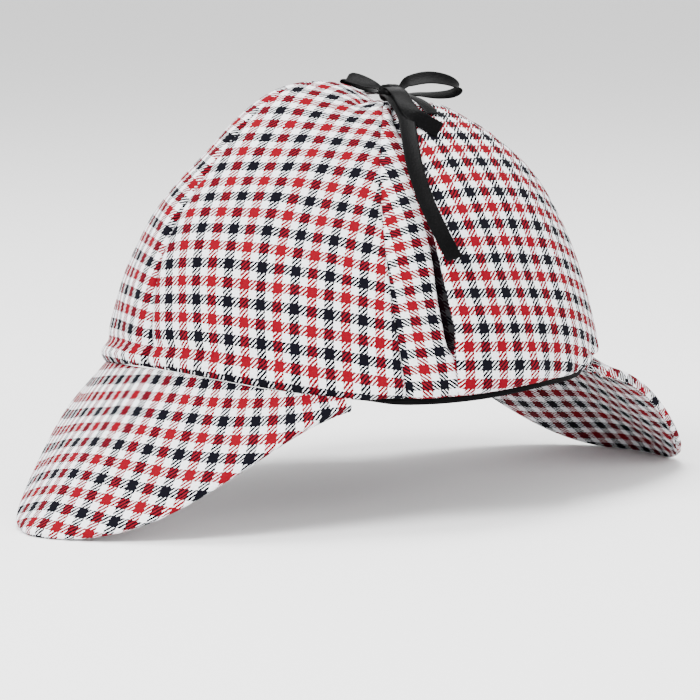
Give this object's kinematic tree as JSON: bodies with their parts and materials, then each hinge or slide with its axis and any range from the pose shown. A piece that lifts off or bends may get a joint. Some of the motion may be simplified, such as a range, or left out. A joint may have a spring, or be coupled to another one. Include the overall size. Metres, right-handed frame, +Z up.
{
  "type": "deerstalker hat",
  "caption": "Soft checked cloth hat with a gored crown, a peak at the front and at the back, and two ear flaps folded up and tied over the crown with a black ribbon bow.",
  "frame": {"origin": "the middle of the hat's footprint, on the surface that it lies on", "axes": "+Z up, the hat faces -Y, and the wearer's left is +X"},
  "size_m": [0.1882, 0.3174, 0.1679],
  "materials": {
    "check_cloth": "matt twill woven in a small red, black and white check",
    "black_tape": "matt black cotton tape",
    "black_ribbon": "black satin ribbon with a fine grey sheen"
  },
  "bodies": {
    "root": {"gore_front_left": "check_cloth", "gore_front_right": "check_cloth", "gore_side_left": "check_cloth", "gore_side_right": "check_cloth", "gore_back_left": "check_cloth", "gore_back_right": "check_cloth", "front_peak": "check_cloth", "back_peak": "check_cloth", "ear_flap_left": "check_cloth", "ear_flap_right": "check_cloth", "sweatband": "black_tape", "bow_knot": "black_ribbon", "bow_loop_rear": "black_ribbon", "bow_loop_front": "black_ribbon", "bow_tail_long": "black_ribbon", "bow_tail_short": "black_ribbon", "tie_left": "black_ribbon", "tie_right": "black_ribbon"}
  },
  "joints": []
}
